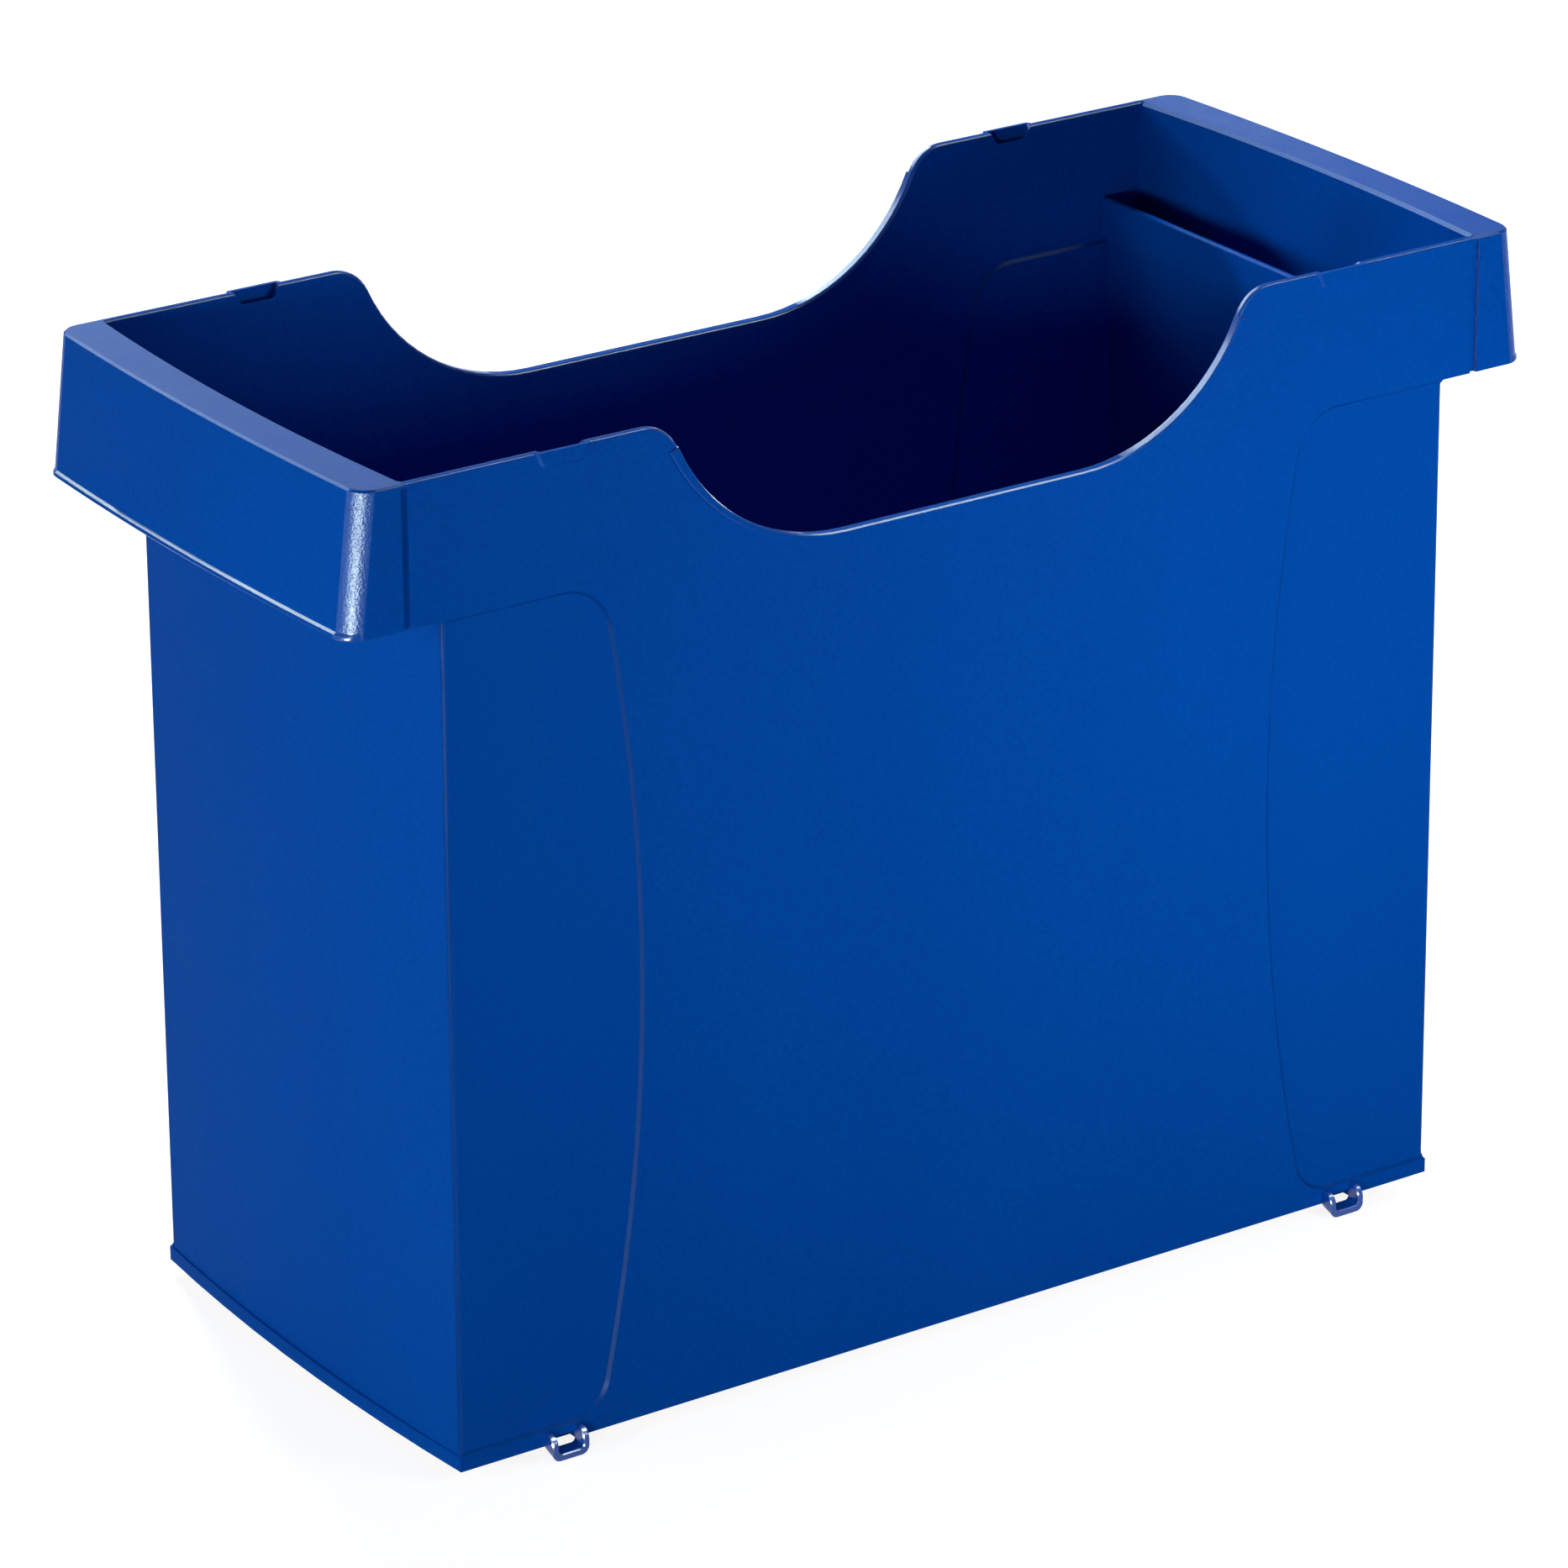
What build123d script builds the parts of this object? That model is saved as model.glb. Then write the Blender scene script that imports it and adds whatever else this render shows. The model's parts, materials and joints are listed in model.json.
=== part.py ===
from build123d import *
import os
from math import acos, degrees, radians, sin, sqrt, tan

os.makedirs("parts", exist_ok=True)

# Hanging file box: a deep moulded tub with a scooped rim, a grip hood over each end, a straight
# rail at each end that suspension files hang on, and two coupling lugs under the front wall.
# Millimetres. X runs along the length, Y from front (-) to back (+), Z up from the standing plane.

# Overall
rail_spacing = 327.8       # between the centre lines of the two rails that the files hang on
half_depth = 81.1          # centre to the outer face of the front and back walls
body_height = 291.5        # lower edge of the walls to the top of the rim

# Tub
end_reach = 5.1            # vertical corners beyond the rails' centre lines, at the lower edge
end_lean = 1.1             # how far the end walls lean inwards on their way up
end_bow = 3.7              # how far the end walls bulge outwards at mid depth
corner_round = 1.0         # upright corners between the strip and the band
wall = 2.5
floor_thickness = 2.5
floor_rise = 2.0           # underside of the floor's border above the lower edge of the walls
foot_height = 4.0          # sunken middle of the floor, below the lower edge of the walls
foot_inset = 9.0           # and how far it is set back from the walls

# Shallow recess round each end, between the bottom strip and the upper band
recess_depth = 0.9
recess_slope = 45          # degrees, flank of the step
strip_height = 4.4
band_height = 40.8         # upper band, and how far the hoods hang down
waist_inset = 62.5         # where the recess reaches furthest in from the body's corner
waist_rise = 11.5          # that place, above the recess's mid height
waist_radius = 578.5
recess_top_radius = 15.0
recess_bottom_radius = 13.0

# Scoop in the front and back walls
raised_rim = 73.7          # rim left at full height, from the scoop to the hood
scoop_depth = 42.0
scoop_radius = 58.5
shoulder_radius = 12.0
rim_inner_round = 1.0
rim_outer_round = 0.7

# Bead outside the scooped rim
bead_proud = 0.9
bead_floor_height = 1.5
bead_flank_height = 3.0
bead_bevel = 0.4

# Pockets inside the rim, with a cup-shaped bulge outside
pocket_inset = 48.7        # pocket's centre from the hood
pocket_top_width = 14.5
pocket_bottom_width = 10.3
pocket_height = 3.6
pocket_skin = 1.2
pocket_round = 1.3
bulge_proud = 0.9
bulge_border = 1.4         # how far the bulge reaches past its pocket
bulge_slope = 40           # degrees
bulge_round = 2.6

# Grip hoods
hood_joint_reach = 14.3    # joint with the front and back walls, beyond the rail's centre line
groove_width = 2.2         # groove over that joint
groove_depth = 1.2
groove_angle = 80          # degrees, its flanks
groove_end_gap = 1.3       # rim left whole above the groove
hood_top_width = 13.6      # joint to the outer edge of the top, at the corners
hood_flare = 4.9           # how much further out the skirt stands at its bottom
hood_bow = 2.6
hood_corner_radius = 6.0
hood_wall = 2.2
hood_bevel = 0.6           # outer edge of the top
lip_proud = 0.6            # bead along the bottom of the skirt
lip_height = 1.9
lip_bevel = 0.3
lip_fade = 0.15            # its outline inside the hood's front and back, so it ends in the corners
trough_lap = 0.5           # trough side of the hood's inner wall, inside the joint at the top
trough_bow = 3.4
trough_lean = 1.4          # that side comes this much further in at its foot
trough_bevel = 1.0

# Hanging rails and the shelves that they stand on
rail_thickness = 2.4
rail_height = 10.6
rail_drop = 26.9           # top of the rail below the top of the rim
rail_end_bevel = 0.9
rail_top_round = 1.1
shelf_thickness = 2.0
shelf_edge_round = 0.6

# Coupling lugs
lug_inset = 33.0           # lug's centre from the body's corner
lug_width = 12.0
lug_reach = 4.9
lug_below = 3.4            # front of the underside, below the lower edge of the walls
lug_root_below = 1.8       # underside at the wall
lug_top_radius = 3.7
lug_post = 1.95
lug_bar = 2.2
lug_outer_radius = 2.6
lug_inner_radius = 1.3
lug_edge_bevel = 0.3

# Places worked out from the sizes
edge_z = foot_height
strip_z = edge_z + strip_height
floor_z = edge_z + floor_rise
top_z = edge_z + body_height
band_z = top_z - band_height
scoop_z = top_z - scoop_depth
rail_top_z = top_z - rail_drop
shelf_top_z = rail_top_z - rail_height
shelf_z = shelf_top_z - shelf_thickness
slot_z = edge_z - lug_below + lug_bar
waist_z = (strip_z + band_z) / 2 + waist_rise
inner_half_depth = half_depth - wall
rail_x = rail_spacing / 2
rail_face_x = rail_x - rail_thickness / 2
half_length = rail_x + end_reach
joint_x = rail_x + hood_joint_reach
trough_x = joint_x - trough_lap
waist_x = half_length - waist_inset
lug_x = half_length - lug_inset
pocket_x = joint_x - pocket_inset
lug_slot = lug_width - 2 * lug_post
shoulder_x = joint_x - raised_rim
scoop_turn = acos(1 - scoop_depth / (scoop_radius + shoulder_radius))
scoop_flat = shoulder_x - (scoop_radius + shoulder_radius) * sin(scoop_turn)
overshoot = 5.0            # how far cutting shapes run past what they cut
tiny = 0.01                # for telling places apart


def corner_x(height):
    """Distance from the centre to the body's vertical corner at this height."""
    return half_length - end_lean * (height - edge_z) / (shelf_top_z - edge_z)


def body_block(low, high, end_inset, side_inset):
    """The body's outline in plan, with bowed ends, between two heights."""
    with BuildPart() as block:
        for height in (low, high):
            corner = corner_x(height) - end_inset
            side = half_depth - side_inset
            with BuildSketch(Plane.XY.offset(height)):
                with BuildLine():
                    Line((-corner, -side), (corner, -side))
                    ThreePointArc((corner, -side), (corner + end_bow, 0), (corner, side))
                    Line((corner, side), (-corner, side))
                    ThreePointArc((-corner, side), (-corner - end_bow, 0), (-corner, -side))
                make_face()
        loft(ruled=True)
    return block.part


def recess_edge(height):
    """X of the recess's long arc at this height."""
    return waist_x + waist_radius - sqrt(waist_radius**2 - (height - waist_z) ** 2)


def recess_cutters(inset):
    """What the recess takes off the body, or off the cavity inside it, at this inset."""
    past_end = half_length + end_bow + overshoot
    with BuildPart() as side_cutters:
        with BuildSketch(Plane.XZ.offset(half_depth - inset)) as profile:
            with BuildLine():
                arc = ThreePointArc(
                    (recess_edge(strip_z), strip_z), (waist_x, waist_z), (recess_edge(band_z), band_z)
                )
                Polyline(arc @ 1, (past_end, band_z), (past_end, strip_z), arc @ 0)
            make_face()
            fillet(profile.vertices().sort_by(Axis.Y)[-2:].sort_by(Axis.X)[0], recess_top_radius)
            fillet(profile.vertices().sort_by(Axis.Y)[:2].sort_by(Axis.X)[0], recess_bottom_radius)
        extrude(amount=-recess_depth, taper=recess_slope)
        mirror(about=Plane.XZ)
        mirror(about=Plane.YZ)
    with BuildPart() as end_cutters:
        add(body_block(strip_z, shelf_z, inset, inset))
        add(
            body_block(strip_z, shelf_z, inset + recess_depth, inset - overshoot),
            mode=Mode.SUBTRACT,
        )
    return side_cutters.part, end_cutters.part


def recessed_block(low, high, inset):
    """The body between two heights at this inset, with the recess taken off it."""
    sides, ends = recess_cutters(inset)
    with BuildPart() as block:
        add(body_block(low, high, inset, inset))
        add(sides, mode=Mode.SUBTRACT)
        add(ends, mode=Mode.SUBTRACT)
    return block.part


def scoop_cutter():
    """The scoop's outline, open at the top, through both long walls."""
    above = top_z + overshoot
    with BuildPart() as cutter:
        with BuildSketch(Plane.XZ):
            with BuildLine():
                Line((0, scoop_z), (scoop_flat, scoop_z))
                flank = JernArc((scoop_flat, scoop_z), (1, 0), scoop_radius, degrees(scoop_turn))
                shoulder = JernArc(flank @ 1, flank % 1, shoulder_radius, -degrees(scoop_turn))
                Polyline(shoulder @ 1, (shoulder_x, above), (0, above))
                mirror(about=Plane.YZ)
            make_face()
        extrude(amount=half_depth + overshoot, both=True)
    return cutter.part


def rim_bead():
    """Bead outside the scooped part of the front wall's rim, sunk into the wall behind it."""
    low_z = scoop_z - bead_floor_height
    with BuildPart() as bead:
        with BuildSketch(Plane.XZ.offset(half_depth + bead_proud)):
            with BuildLine():
                Line((0, scoop_z), (scoop_flat, scoop_z))
                flank = JernArc((scoop_flat, scoop_z), (1, 0), scoop_radius, degrees(scoop_turn))
                end = PolarLine(
                    flank @ 1, bead_flank_height, direction=(flank % 1).rotate(Axis.Z, -90)
                )
                TangentArc((scoop_flat, low_z), end @ 1, tangent=(1, 0))
                Line((scoop_flat, low_z), (0, low_z))
                mirror(about=Plane.YZ)
            make_face()
        extrude(amount=-(bead_proud + wall / 2))
        chamfer(bead.faces().sort_by(Axis.Y)[0].edges(), bead_bevel)
    return bead.part


def cup(top_width, bottom_width, height, corner):
    """Cup outline hanging from the rim, widest there and open above it."""
    slant = (top_width - bottom_width) / 2 / height
    half_top = top_width / 2 + slant * overshoot
    with BuildSketch() as outline:
        with BuildLine():
            Polyline(
                (-bottom_width / 2, -height),
                (bottom_width / 2, -height),
                (half_top, overshoot),
                (-half_top, overshoot),
                close=True,
            )
        make_face()
        fillet(outline.vertices().sort_by(Axis.Y)[:2], corner)
    return outline.sketch


def front_plane(depth):
    """Upright plane that faces forwards at the right-hand pocket's place on the rim."""
    return Plane((pocket_x, -depth, top_z), (1, 0, 0), (0, -1, 0))


def pocket_bulge():
    """Bulge outside a rim pocket, sunk into the wall behind it."""
    outline = cup(
        pocket_top_width + 2 * bulge_border,
        pocket_bottom_width + 2 * bulge_border,
        pocket_height + bulge_border,
        bulge_round,
    )
    with BuildPart() as bulge:
        with BuildSketch(front_plane(half_depth)) as root:
            add(outline)
        extrude(amount=bulge_proud, taper=bulge_slope)
        extrude(root.sketch, amount=-wall / 2)
        split(bisect_by=Plane.XY.offset(top_z), keep=Keep.BOTTOM)
    return bulge.part


def rim_pocket():
    """Notch in the inner face of the rim, which leaves a thin skin outside."""
    with BuildPart() as pocket:
        with BuildSketch(front_plane(half_depth + bulge_proud - pocket_skin)):
            add(cup(pocket_top_width, pocket_bottom_width, pocket_height, pocket_round))
        extrude(amount=-wall)
    return pocket.part


def joint_groove():
    """Upright groove over the joint between a hood and the front wall."""
    flank = groove_depth / tan(radians(groove_angle))
    with BuildPart() as groove:
        with BuildSketch(Plane.XY.offset(band_z)):
            with Locations((joint_x, -half_depth)):
                Trapezoid(groove_width + 2 * flank, 2 * groove_depth, groove_angle)
        extrude(amount=band_height - groove_end_gap)
    return groove.part


def on_four_sides(shape):
    """The shape with its mirror images front to back and left to right."""
    with BuildPart() as group:
        add(shape)
        mirror(about=Plane.XZ)
        mirror(about=Plane.YZ)
    return group.part


def rail_shelf():
    """Right-hand shelf, from the rail's straight inner face out to the back of the hood's wall."""
    back_x = trough_x + trough_bow - trough_lean + hood_wall
    with BuildPart() as shelf:
        with BuildSketch(Plane.XY.offset(shelf_z)):
            with BuildLine():
                Polyline(
                    (joint_x, inner_half_depth),
                    (rail_face_x, inner_half_depth),
                    (rail_face_x, -inner_half_depth),
                    (joint_x, -inner_half_depth),
                )
                ThreePointArc((joint_x, -inner_half_depth), (back_x, 0), (joint_x, inner_half_depth))
            make_face()
        extrude(amount=shelf_thickness)
        inner_face = shelf.faces().sort_by(Axis.X)[0]
        fillet(inner_face.edges().sort_by(Axis.Z)[0], shelf_edge_round)
    return shelf.part


def rim_edges(build, depth):
    """Edges along the rim's top, scoops included, this far in front of and behind the centre."""
    edges = build.edges().filter_by(lambda e: abs(abs(e.center().Y) - depth) < tiny)
    return edges.filter_by(
        lambda e: e.center().Z > top_z - tiny
        or (abs(e.center().X) < shoulder_x and e.center().Z > scoop_z - tiny)
    )


shell = recessed_block(edge_z, shelf_top_z, 0)
cavity = recessed_block(floor_z + floor_thickness, shelf_z, wall)
gutter = body_block(edge_z, floor_z, wall, wall)
foot = body_block(0, floor_z + floor_thickness, foot_inset, foot_inset)
foot_well = body_block(
    floor_thickness, floor_z + floor_thickness, foot_inset + wall, foot_inset + wall
)
scoop = scoop_cutter()
bead = rim_bead()
bulges = on_four_sides(pocket_bulge())
pockets = on_four_sides(rim_pocket())
grooves = on_four_sides(joint_groove())
shelf = rail_shelf()

with BuildPart() as tub_body:
    add(shell)
    tall_edges = tub_body.edges().filter_by(lambda e: e.bounding_box().size.Z > body_height / 2)
    fillet(tall_edges.filter_by(lambda e: abs(e.center().X) > rail_x), corner_round)
    # Upper band, which reaches out over the ends to the hoods
    with BuildSketch(Plane.XY.offset(band_z)):
        Rectangle(2 * joint_x, 2 * half_depth)
        Rectangle(2 * joint_x, 2 * inner_half_depth, mode=Mode.SUBTRACT)
    extrude(amount=band_height)
    add(cavity, mode=Mode.SUBTRACT)
    # Mouth, straight down past the shelves' inner edges
    with BuildSketch(Plane.XY.offset(shelf_z)):
        Rectangle(2 * rail_face_x, 2 * inner_half_depth)
    extrude(amount=top_z - shelf_z, mode=Mode.SUBTRACT)
    add(shelf)
    mirror(shelf, about=Plane.YZ)
    # Underside: a gutter behind the lower edge, and the sunken floor that the box stands on
    add(gutter, mode=Mode.SUBTRACT)
    add(foot)
    add(foot_well, mode=Mode.SUBTRACT)
    # Rim
    add(scoop, mode=Mode.SUBTRACT)
    fillet(rim_edges(tub_body, inner_half_depth), rim_inner_round)
    fillet(rim_edges(tub_body, half_depth), rim_outer_round)
    add(bead)
    mirror(bead, about=Plane.XZ)
    add(bulges)
    add(pockets, mode=Mode.SUBTRACT)
    add(grooves, mode=Mode.SUBTRACT)
    # Notches in the lower edge behind the lugs' slots
    with Locations((-lug_x, -half_depth, floor_z), (lug_x, -half_depth, floor_z)):
        Box(
            lug_slot,
            4 * wall,
            2 * floor_rise,
            align=(Align.CENTER, Align.CENTER, Align.MAX),
            mode=Mode.SUBTRACT,
        )
tub_body.part.label = "tub_body"
export_step(tub_body.part, "parts/tub_body.step")


def hood_outline(height, set_in, side, corner):
    """Plan of the right-hand hood from its joint outwards, with its outer face set in."""
    reach = joint_x + hood_top_width + hood_flare * (top_z - height) / band_height - set_in
    with BuildSketch(Plane.XY.offset(height)) as plan:
        with BuildLine():
            Polyline((reach, side), (joint_x, side), (joint_x, -side), (reach, -side))
            ThreePointArc((reach, -side), (reach + hood_bow, 0), (reach, side))
        make_face()
        fillet(plan.vertices().sort_by(Axis.X)[-2:], corner)
    return plan.sketch


def trough_plan(height, set_back, far_x):
    """Plan from the trough's outer side, or from behind it by set_back, out to far_x."""
    corner = trough_x - trough_lean * (top_z - height) / (top_z - shelf_top_z) + set_back
    with BuildSketch(Plane.XY.offset(height)) as plan:
        with BuildLine():
            side = ThreePointArc(
                (corner, -inner_half_depth),
                (corner + trough_bow, 0),
                (corner, inner_half_depth),
            )
            Polyline(side @ 1, (far_x, inner_half_depth), (far_x, -inner_half_depth), side @ 0)
        make_face()
    return plan.sketch


def stacked_lofts(plans):
    """Solid with straight sides from each plan up to the next."""
    with BuildPart() as stack:
        for low_plan, high_plan in zip(plans, plans[1:]):
            with BuildPart() as storey:
                add(low_plan)
                add(high_plan)
                loft(ruled=True)
    return stack.part


def hood_inside(low, high):
    """Form just inside the right-hand hood's skirt and its front and back walls."""
    corner = hood_corner_radius - hood_wall
    plans = [hood_outline(z, hood_wall, inner_half_depth, corner) for z in (low, high)]
    return stacked_lofts(plans)


def trough_block(set_back, far_x):
    """Everything from the trough's outer side, or from behind it, out to far_x."""
    plans = [trough_plan(z, set_back, far_x) for z in (shelf_top_z, top_z)]
    return stacked_lofts(plans)


past_hood = joint_x + hood_top_width + hood_flare + hood_bow + overshoot
lip_top_z = band_z + lip_height + lip_bevel
upper_space = hood_inside(shelf_top_z, top_z - hood_wall)
lower_space = hood_inside(band_z, shelf_top_z)
behind_trough_wall = trough_block(hood_wall, past_hood)
trough_wall = trough_block(0, trough_x + trough_bow + hood_wall)

# Outer form, in one stretch beside the lip, one above it and the bevel round the top
hood_form = stacked_lofts(
    [
        hood_outline(band_z, 0, half_depth, hood_corner_radius),
        hood_outline(lip_top_z, 0, half_depth, hood_corner_radius),
        hood_outline(top_z - hood_bevel, 0, half_depth, hood_corner_radius),
        hood_outline(top_z, hood_bevel, half_depth - hood_bevel, hood_corner_radius - hood_bevel),
    ]
)

# Space under the hood's top, open below, for the fingers that lift the box
with BuildPart() as finger_space:
    add(upper_space)
    add(behind_trough_wall, mode=Mode.INTERSECT)
    add(lower_space)

# Air of the trough, bounded by its outer side and the bevel at the top of it
with BuildPart() as beyond_trough:
    add(trough_block(0, past_hood))
    chamfer(
        beyond_trough.edges().group_by(Axis.Z)[-1].filter_by(GeomType.CIRCLE), trough_bevel
    )
with BuildPart() as trough_air:
    with BuildSketch(Plane.XY.offset(shelf_top_z)):
        Rectangle(past_hood, 2 * inner_half_depth, align=(Align.MIN, Align.CENTER))
    extrude(amount=top_z - shelf_top_z)
    add(beyond_trough.part, mode=Mode.SUBTRACT)

# Bead along the bottom of the skirt, which fades out round the corners and sinks into the skirt
# above
lip_steps = [
    (band_z, lip_bevel - lip_proud),
    (band_z + lip_bevel, -lip_proud),
    (band_z + lip_height - lip_proud, -lip_proud),
    (lip_top_z, lip_bevel),
]
lip = stacked_lofts(
    [
        hood_outline(height, set_in, half_depth - lip_fade, hood_corner_radius)
        for height, set_in in lip_steps
    ]
)

with BuildPart() as right_grip_hood:
    add(hood_form)
    add(trough_wall)
    add(lip)
    add(finger_space.part, mode=Mode.SUBTRACT)
    add(trough_air.part, mode=Mode.SUBTRACT)
    add(grooves, mode=Mode.SUBTRACT)
right_grip_hood.part.label = "right_grip_hood"
export_step(right_grip_hood.part, "parts/right_grip_hood.step")

with BuildPart() as left_grip_hood:
    add(mirror(right_grip_hood.part, about=Plane.YZ))
left_grip_hood.part.label = "left_grip_hood"
export_step(left_grip_hood.part, "parts/left_grip_hood.step")

with BuildPart() as right_hanging_rail:
    with BuildSketch(Plane.XZ) as section:
        with Locations((rail_x, shelf_top_z)):
            Rectangle(rail_thickness, rail_height, align=(Align.CENTER, Align.MIN))
        fillet(section.vertices().group_by(Axis.Y)[-1], rail_top_round)
    extrude(amount=inner_half_depth, both=True)
    ends = right_hanging_rail.faces().filter_by(Axis.Y)
    chamfer(ends.edges().group_by(Axis.Z)[-1], rail_end_bevel)
right_hanging_rail.part.label = "right_hanging_rail"
export_step(right_hanging_rail.part, "parts/right_hanging_rail.step")

with BuildPart() as left_hanging_rail:
    add(mirror(right_hanging_rail.part, about=Plane.YZ))
left_hanging_rail.part.label = "left_hanging_rail"
export_step(left_hanging_rail.part, "parts/left_hanging_rail.step")

with BuildPart() as right_coupling_lug:
    front = -half_depth - lug_reach
    # Side profile: flat underside that drops towards the front, and a round nose above
    with BuildSketch(Plane.YZ.offset(lug_x - lug_width / 2)):
        with BuildLine():
            top_line = Line((-half_depth, strip_z), (front + lug_top_radius, strip_z))
            nose = JernArc(top_line @ 1, (-1, 0), lug_top_radius, 90)
            Polyline(
                nose @ 1,
                (front, edge_z - lug_below),
                (-half_depth, edge_z - lug_root_below),
                (-half_depth, strip_z),
            )
        make_face()
    extrude(amount=lug_width)
    underside = right_coupling_lug.faces().sort_by(Axis.Z)[0]
    fillet(underside.edges().filter_by(Axis.X, reverse=True), lug_outer_radius)
    # Slot, open at the top, which leaves two posts and a bar
    with BuildSketch(Plane.XZ.offset(half_depth)) as slot:
        with Locations((lug_x, slot_z)):
            Rectangle(lug_slot, strip_z - slot_z + overshoot, align=(Align.CENTER, Align.MIN))
        fillet(slot.vertices().group_by(Axis.Y)[0], lug_inner_radius)
    extrude(amount=lug_reach, mode=Mode.SUBTRACT)
    free_edges = right_coupling_lug.edges().filter_by(lambda e: e.center().Y < -half_depth - tiny)
    chamfer(free_edges, lug_edge_bevel)
right_coupling_lug.part.label = "right_coupling_lug"
export_step(right_coupling_lug.part, "parts/right_coupling_lug.step")

with BuildPart() as left_coupling_lug:
    add(mirror(right_coupling_lug.part, about=Plane.YZ))
left_coupling_lug.part.label = "left_coupling_lug"
export_step(left_coupling_lug.part, "parts/left_coupling_lug.step")
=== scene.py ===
import json
import math

import bpy
from mathutils import Matrix, Vector


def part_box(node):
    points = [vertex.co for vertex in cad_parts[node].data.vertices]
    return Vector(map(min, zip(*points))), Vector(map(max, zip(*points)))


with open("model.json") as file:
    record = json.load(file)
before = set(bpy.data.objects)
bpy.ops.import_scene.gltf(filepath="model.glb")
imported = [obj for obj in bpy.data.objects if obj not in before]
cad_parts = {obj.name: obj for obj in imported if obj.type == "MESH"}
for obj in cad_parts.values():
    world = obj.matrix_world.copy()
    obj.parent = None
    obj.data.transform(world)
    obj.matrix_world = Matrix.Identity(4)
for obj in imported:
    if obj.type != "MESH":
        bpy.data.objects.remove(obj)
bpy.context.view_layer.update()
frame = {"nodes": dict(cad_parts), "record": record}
nodes = frame["nodes"]
scene = bpy.context.scene

# Camera of the photograph, fitted to the box's corners
CAMERA_PLACE = Vector((-1.08682, -1.61771, 0.94546))
CAMERA_YAW = 0.588932
CAMERA_PITCH = 0.391117
CAMERA_ROLL = -0.0077169
IMAGE_PIXELS = 1866
FOCAL_PIXELS = 8694.86
SENSOR_MM = 36.0
NEAREST, FURTHEST = 0.05, 50


def photo_camera():
    ahead = Vector((
        math.sin(CAMERA_YAW) * math.cos(CAMERA_PITCH),
        math.cos(CAMERA_YAW) * math.cos(CAMERA_PITCH),
        -math.sin(CAMERA_PITCH),
    ))
    level = Vector((math.cos(CAMERA_YAW), -math.sin(CAMERA_YAW), 0))
    upright = level.cross(ahead)
    right = math.cos(CAMERA_ROLL) * level + math.sin(CAMERA_ROLL) * upright
    up = -math.sin(CAMERA_ROLL) * level + math.cos(CAMERA_ROLL) * upright
    data = bpy.data.cameras.new("photo_camera")
    data.sensor_width = SENSOR_MM
    data.lens = FOCAL_PIXELS / IMAGE_PIXELS * SENSOR_MM
    data.clip_start, data.clip_end = NEAREST, FURTHEST
    camera = bpy.data.objects.new("photo_camera", data)
    turn = Matrix((right, up, -ahead)).transposed()
    camera.matrix_world = Matrix.Translation(CAMERA_PLACE) @ turn.to_4x4()
    scene.collection.objects.link(camera)
    scene.camera = camera


def math_node(tree, operation, *values):
    """Works out a value from sockets and numbers."""
    node = tree.nodes.new("ShaderNodeMath")
    node.operation = operation
    for socket, value in zip(node.inputs, values):
        if isinstance(value, bpy.types.NodeSocket):
            tree.links.new(value, socket)
        else:
            socket.default_value = value
    return node.outputs["Value"]


def map_range(tree, value, source, target):
    """Carries a value from one range over to another."""
    node = tree.nodes.new("ShaderNodeMapRange")
    node.inputs["From Min"].default_value, node.inputs["From Max"].default_value = source
    node.inputs["To Min"].default_value, node.inputs["To Max"].default_value = target
    tree.links.new(value, node.inputs["Value"])
    return node.outputs["Result"]


# The plastic changes between these two blues, with broad upright flow marks and a fine speckle
BLUE = (0.0, 0.066, 0.365)
DEEP_BLUE = (0.0, 0.054, 0.328)
FLOW_MM, FLOW_STRETCH = 90, (1, 1, 0.35)
SPECKLE_MM, SPECKLE_SHARE = 1.1, 0.4
# Its roughness goes down and up by this much, in patches
PATCH_MM, SMOOTHER, ROUGHER = 14, 0.03, 0.04
# Most of a noise's values are in these ranges
SPECKLE_RANGE, PATCH_RANGE = (0.35, 0.65), (0.3, 0.7)
FINE, FINER = 2, 3
COAT_ROUGHNESS = 0.12


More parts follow.
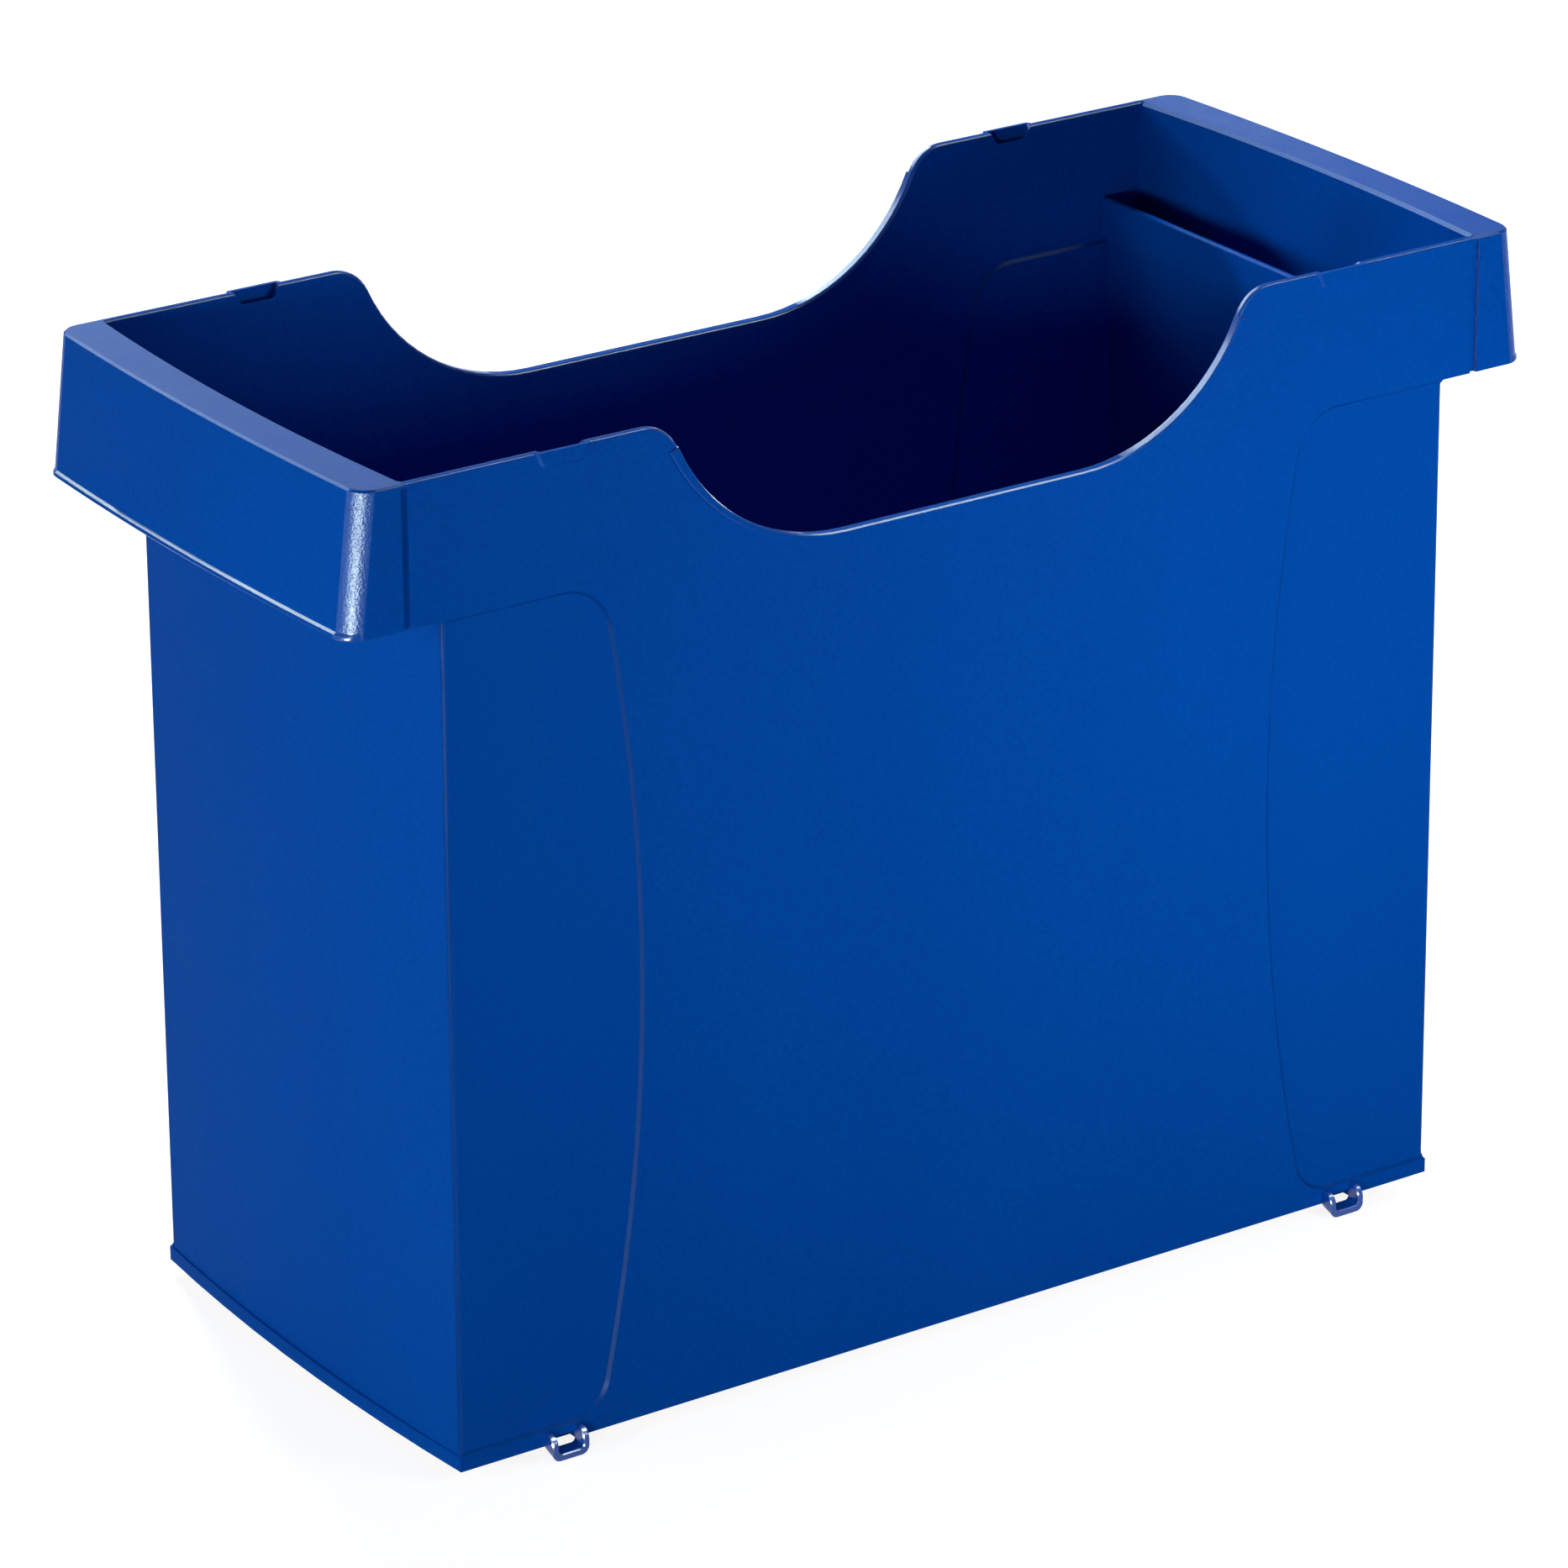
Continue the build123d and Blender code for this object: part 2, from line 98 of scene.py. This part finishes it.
def plastic(name, roughness, specular, grain_mm, grain_depth_mm, coat=0.0, painted_shade_factor=1.0):
    """Blue plastic with a fine grain, faint flow marks and small changes of gloss. A shade factor
    below 1 darkens both blues, as painted shade.
    """
    material = bpy.data.materials.new(name)
    material.use_nodes = True
    tree = material.node_tree
    n, link = tree.nodes, tree.links.new
    shader = n["Principled BSDF"]
    shader.inputs["Specular IOR Level"].default_value = specular
    shader.inputs["Coat Weight"].default_value = coat
    shader.inputs["Coat Roughness"].default_value = COAT_ROUGHNESS
    place = n.new("ShaderNodeTexCoord").outputs["Object"]

    def noise(size_mm, detail, stretch=(1, 1, 1)):
        mapping = n.new("ShaderNodeMapping")
        mapping.inputs["Scale"].default_value = stretch
        link(place, mapping.inputs["Vector"])
        texture = n.new("ShaderNodeTexNoise")
        texture.inputs["Scale"].default_value = 1000 / size_mm
        texture.inputs["Detail"].default_value = detail
        link(mapping.outputs["Vector"], texture.inputs["Vector"])
        return texture.outputs["Fac"]

    flow = noise(FLOW_MM, FINE, FLOW_STRETCH)
    speckle = map_range(
        tree, noise(SPECKLE_MM, FINE), SPECKLE_RANGE, (-SPECKLE_SHARE, SPECKLE_SHARE)
    )
    colour = n.new("ShaderNodeMixRGB")
    colour.inputs["Color1"].default_value = (*[painted_shade_factor * part for part in DEEP_BLUE], 1)
    colour.inputs["Color2"].default_value = (*[painted_shade_factor * part for part in BLUE], 1)
    link(math_node(tree, "ADD", flow, speckle), colour.inputs["Fac"])
    link(colour.outputs["Color"], shader.inputs["Base Color"])

    gloss = map_range(
        tree, noise(PATCH_MM, FINER), PATCH_RANGE, (roughness - SMOOTHER, roughness + ROUGHER)
    )
    link(gloss, shader.inputs["Roughness"])

    bump = n.new("ShaderNodeBump")
    bump.inputs["Strength"].default_value = 1.0
    bump.inputs["Distance"].default_value = grain_depth_mm / 1000
    link(noise(grain_mm, FINE), bump.inputs["Height"])
    link(bump.outputs["Normal"], shader.inputs["Normal"])
    return material


# Roughness, specular level, and the grain's size and depth in millimetres
satin = plastic("satin_plastic", 0.42, 0.006, 0.8, 0.04)
top_satin = plastic("top_satin_plastic", 0.30, 0.012, 0.8, 0.03)
# The step plastic's blues are darkened to 0.72 times, as painted shade on the skin's low edges
# and corners and on the recesses' steps
shaded_step = plastic("shaded_step_plastic", 0.36, 0.009, 0.8, 0.02, painted_shade_factor=0.72)
bevelled = plastic("hood_bevel_plastic", 0.26, 0.03, 0.8, 0.01)
polished = plastic("polished_edge_plastic", 0.20, 0.12, 1.2, 0.004)
grained = plastic("grained_corner_plastic", 0.40, 0.14, 0.7, 0.24)
glossy = plastic("glossy_plastic", 0.20, 0.5, 2.5, 0.004, coat=0.1)

# Edges up to this angle are shaded smooth
SMOOTH_ANGLE = math.radians(40)
WELD = 1e-6
# A face belongs to an edge's rounding if no part of its normal along an axis reaches this
EDGE_LIMIT = 0.97
# An upright corner's normal has more than this along X and Y, and less than that along Z
CORNER_SIDE, CORNER_UP = 0.09, 0.3
# Heights from the hoods' lower edge, which is level with the band's. The walls' steps and corners
# are below the first, and the hoods' lips below the second.
HOOD_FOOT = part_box("left_grip_hood")[0][2]
WALL_EDGES = HOOD_FOOT - 0.015
HOOD_LIPS = HOOD_FOOT + 0.007
# The recesses' upper steps are below this height, and further out along X than the scoops
UPPER_STEPS = HOOD_FOOT + 0.003
STEPS_FROM = 0.09


def finish_group(name, edge_material, corner_material, low_material, low_height, top_material):
    """Smooths shallow edges, and gives edges, corners, low edges and tops their materials."""
    group = bpy.data.node_groups.new(name, "GeometryNodeTree")
    for way in ("INPUT", "OUTPUT"):
        group.interface.new_socket("Geometry", in_out=way, socket_type="NodeSocketGeometry")
    n, link = group.nodes, group.links.new
    start, end = n.new("NodeGroupInput"), n.new("NodeGroupOutput")

    def compare(value, operation, limit):
        node = n.new("FunctionNodeCompare")
        node.data_type = "FLOAT"
        node.operation = operation
        node.inputs["B"].default_value = limit
        link(value, node.inputs["A"])
        return node.outputs["Result"]

    def combine(operation, first, second):
        node = n.new("FunctionNodeBooleanMath")
        node.operation = operation
        link(first, node.inputs[0])
        link(second, node.inputs[1])
        return node.outputs[0]

    def split(vector):
        node = n.new("ShaderNodeSeparateXYZ")
        link(vector, node.inputs[0])
        return node.outputs

    merge = n.new("GeometryNodeMergeByDistance")
    merge.inputs["Distance"].default_value = WELD
    faces = n.new("GeometryNodeSetShadeSmooth")
    faces.domain = "FACE"
    faces.inputs["Shade Smooth"].default_value = True
    edges = n.new("GeometryNodeSetShadeSmooth")
    edges.domain = "EDGE"
    angle = n.new("GeometryNodeInputMeshEdgeAngle").outputs["Unsigned Angle"]
    link(compare(angle, "LESS_EQUAL", SMOOTH_ANGLE), edges.inputs["Shade Smooth"])
    link(start.outputs[0], merge.inputs["Geometry"])
    link(merge.outputs[0], faces.inputs["Geometry"])
    link(faces.outputs[0], edges.inputs["Geometry"])

    normal = split(n.new("GeometryNodeInputNormal").outputs["True Normal"])
    x, y, z = (math_node(group, "ABSOLUTE", part) for part in normal)
    is_top = compare(normal["Z"], "GREATER_THAN", EDGE_LIMIT)
    largest = math_node(group, "MAXIMUM", math_node(group, "MAXIMUM", x, y), z)
    is_edge = compare(largest, "LESS_THAN", EDGE_LIMIT)
    slanted = combine(
        "AND",
        compare(x, "GREATER_THAN", CORNER_SIDE),
        compare(y, "GREATER_THAN", CORNER_SIDE),
    )
    is_corner = combine("AND", slanted, compare(z, "LESS_THAN", CORNER_UP))

    place = split(n.new("GeometryNodeInputPosition").outputs[0])
    upper_step = combine(
        "AND",
        compare(place["Z"], "LESS_THAN", UPPER_STEPS),
        compare(math_node(group, "ABSOLUTE", place["X"]), "GREATER_THAN", STEPS_FROM),
    )
    low = combine("OR", compare(place["Z"], "LESS_THAN", low_height), upper_step)
    is_low = combine("AND", is_edge, low)

    last = edges.outputs[0]
    for selection, material in (
        (is_edge, edge_material),
        (is_corner, corner_material),
        (is_low, low_material),
        (is_top, top_material),
    ):
        paint = n.new("GeometryNodeSetMaterial")
        paint.inputs["Material"].default_value = material
        link(selection, paint.inputs["Selection"])
        link(last, paint.inputs["Geometry"])
        last = paint.outputs[0]
    link(last, end.inputs[0])
    return group


def dress(piece, material, group):
    for slot in piece.material_slots:
        slot.material = material
    piece.modifiers.new("finish", "NODES").node_group = group
    # Flat faces keep their own normals beside the smooth edges
    weighted = piece.modifiers.new("weighted", "WEIGHTED_NORMAL")
    weighted.mode = "FACE_AREA"
    weighted.weight = 100
    weighted.keep_sharp = True


# On the skin, the low edges and the recesses' upper steps get the darker step plastic, which is
# painted shade
skin_finish = finish_group("skin_finish", polished, polished, shaded_step, WALL_EDGES, satin)
hood_finish = finish_group("hood_finish", bevelled, grained, polished, HOOD_LIPS, top_satin)
rail_finish = finish_group(
    "rail_finish", top_satin, top_satin, top_satin, WALL_EDGES, top_satin
)
trim_finish = finish_group("trim_finish", glossy, glossy, glossy, WALL_EDGES, glossy)
for sub in frame["record"]["subparts"]:
    piece = nodes[sub["node"]]
    if sub["material_slot"] == "gloss_trim":
        dress(piece, glossy, trim_finish)
    elif "hood" in sub["node"]:
        dress(piece, satin, hood_finish)
    elif "rail" in sub["node"]:
        dress(piece, satin, rail_finish)
    else:
        dress(piece, satin, skin_finish)

WHITE = (1, 1, 1, 1)
FLOOR_GREY = (0.30, 0.30, 0.30, 1)
# With the light that falls on the floor, this glow makes it white
FLOOR_GLOW = 0.86
FLOOR_HALF = 6.0
# Just under the box, so that the two surfaces don't coincide
FLOOR_DROP = 0.0002


def seen_directly(tree):
    """1 for camera, glossy and transmission rays, and 0 for the rest."""
    path = tree.nodes.new("ShaderNodeLightPath").outputs
    seen = math_node(tree, "MAXIMUM", path["Is Camera Ray"], path["Is Glossy Ray"])
    return math_node(tree, "MAXIMUM", seen, path["Is Transmission Ray"])


def floor_material():
    """White to the camera and in reflections, with the box's shadow kept."""
    material = bpy.data.materials.new("floor")
    material.use_nodes = True
    tree = material.node_tree
    n, link = tree.nodes, tree.links.new
    n.remove(n["Principled BSDF"])
    diffuse = n.new("ShaderNodeBsdfDiffuse")
    diffuse.inputs["Color"].default_value = FLOOR_GREY
    glow = n.new("ShaderNodeEmission")
    glow.inputs["Color"].default_value = WHITE
    link(math_node(tree, "MULTIPLY", seen_directly(tree), FLOOR_GLOW), glow.inputs["Strength"])
    add = n.new("ShaderNodeAddShader")
    link(diffuse.outputs[0], add.inputs[0])
    link(glow.outputs[0], add.inputs[1])
    link(add.outputs[0], n["Material Output"].inputs["Surface"])
    return material


floor_mesh = bpy.data.meshes.new("floor")
floor_mesh.from_pydata(
    [(-FLOOR_HALF, -FLOOR_HALF, 0), (FLOOR_HALF, -FLOOR_HALF, 0),
     (FLOOR_HALF, FLOOR_HALF, 0), (-FLOOR_HALF, FLOOR_HALF, 0)],
    [], [(0, 1, 2, 3)],
)
floor_mesh.materials.append(floor_material())
floor = bpy.data.objects.new("floor", floor_mesh)
floor.location.z = -FLOOR_DROP
scene.collection.objects.link(floor)

# White surroundings, which light the box only a little
AMBIENT = 0.01


def studio_world():
    world = bpy.data.worlds.new("studio")
    world.use_nodes = True
    tree = world.node_tree
    background = tree.nodes["Background"]
    background.inputs["Color"].default_value = WHITE
    strength = map_range(tree, seen_directly(tree), (0, 1), (AMBIENT, 1))
    tree.links.new(strength, background.inputs["Strength"])
    return world


scene.world = studio_world()

# Colour of the lamps that only make highlights
COOL_WHITE = (0.80, 1.0, 0.95)
OPEN_BEAM = 180


def softbox(name, place, aim, size, power, spread=OPEN_BEAM, diffuse=True, gloss=True):
    """Rectangular lamp of this width and height in metres, power in watts and beam in degrees."""
    data = bpy.data.lights.new(name, "AREA")
    data.shape = "RECTANGLE"
    data.size, data.size_y = size
    data.energy = power
    data.spread = math.radians(spread)
    if not diffuse:
        data.color = COOL_WHITE
    lamp = bpy.data.objects.new(name, data)
    lamp.location = place
    towards = Vector(aim) - Vector(place)
    lamp.rotation_mode = "QUATERNION"
    lamp.rotation_quaternion = towards.to_track_quat("-Z", "Y")
    lamp.visible_camera = False
    lamp.visible_diffuse = diffuse
    lamp.visible_glossy = gloss
    scene.collection.objects.link(lamp)


# Points of the box that the lamps face
LEFT_END, RIGHT_END = (-0.17, 0, 0.15), (0.17, 0, 0.15)
FRONT_LEFT, FRONT_MIDDLE = (-0.10, -0.08, 0.15), (0.08, -0.08, 0.22)
FRONT_RIGHT, FRONT_SCOOP = (0.14, -0.08, 0.19), (0.05, -0.08, 0.26)
OPENING, RIM = (0, 0, 0.28), (0, 0, 0.29)
RIGHT_HOOD, RIGHT_TROUGH = (0.18, 0, 0.28), (0.178, -0.063, 0.275)
LEFT_HOOD_CORNER = (-0.19, -0.08, 0.25)

# Light on the ends and the front wall, from the left over the tops, and from behind
softbox("left_end", (-0.80, -0.18, 0.25), LEFT_END, (0.15, 0.15), 1.6)
softbox("left_front", (-1.05, -0.95, 0.30), FRONT_LEFT, (0.20, 0.20), 5.8)
softbox("left_top", (-2.0, 0.5, 0.62), RIGHT_HOOD, (0.5, 0.3), 7.5)
softbox("right_end", (1.0, 0.1, 0.35), RIGHT_END, (0.20, 0.20), 3.0)
softbox("front_mid", (0.12, -0.45, 0.24), FRONT_MIDDLE, (0.20, 0.12), 0.75)
softbox("front_right", (0.22, -0.42, 0.20), FRONT_RIGHT, (0.15, 0.12), 0.40)
softbox("back_top", (0.65, 1.72, 2.1), OPENING, (0.9, 0.9), 86, gloss=False)
softbox("trough", (-0.55, 0.75, 0.62), RIGHT_TROUGH, (0.10, 0.10), 0.026, spread=9, gloss=False)
# Highlights on the tops, the scoops' right flanks, the left hood's corner and the rim
softbox("back_glow", (1.0, 1.9, 1.05), OPENING, (1.2, 0.9), 10, diffuse=False)
softbox("flank_glow", (-0.3, 1.65, 1.35), FRONT_SCOOP, (2.0, 0.7), 110, diffuse=False)
softbox("corner_line", (-0.85, -0.53, 0.09), LEFT_HOOD_CORNER, (0.24, 0.10), 85, diffuse=False)
softbox("rim_line", (0.78, -0.58, 1.45), RIM, (0.60, 0.50), 42, diffuse=False)

photo_camera()
scene.view_settings.view_transform = "Standard"
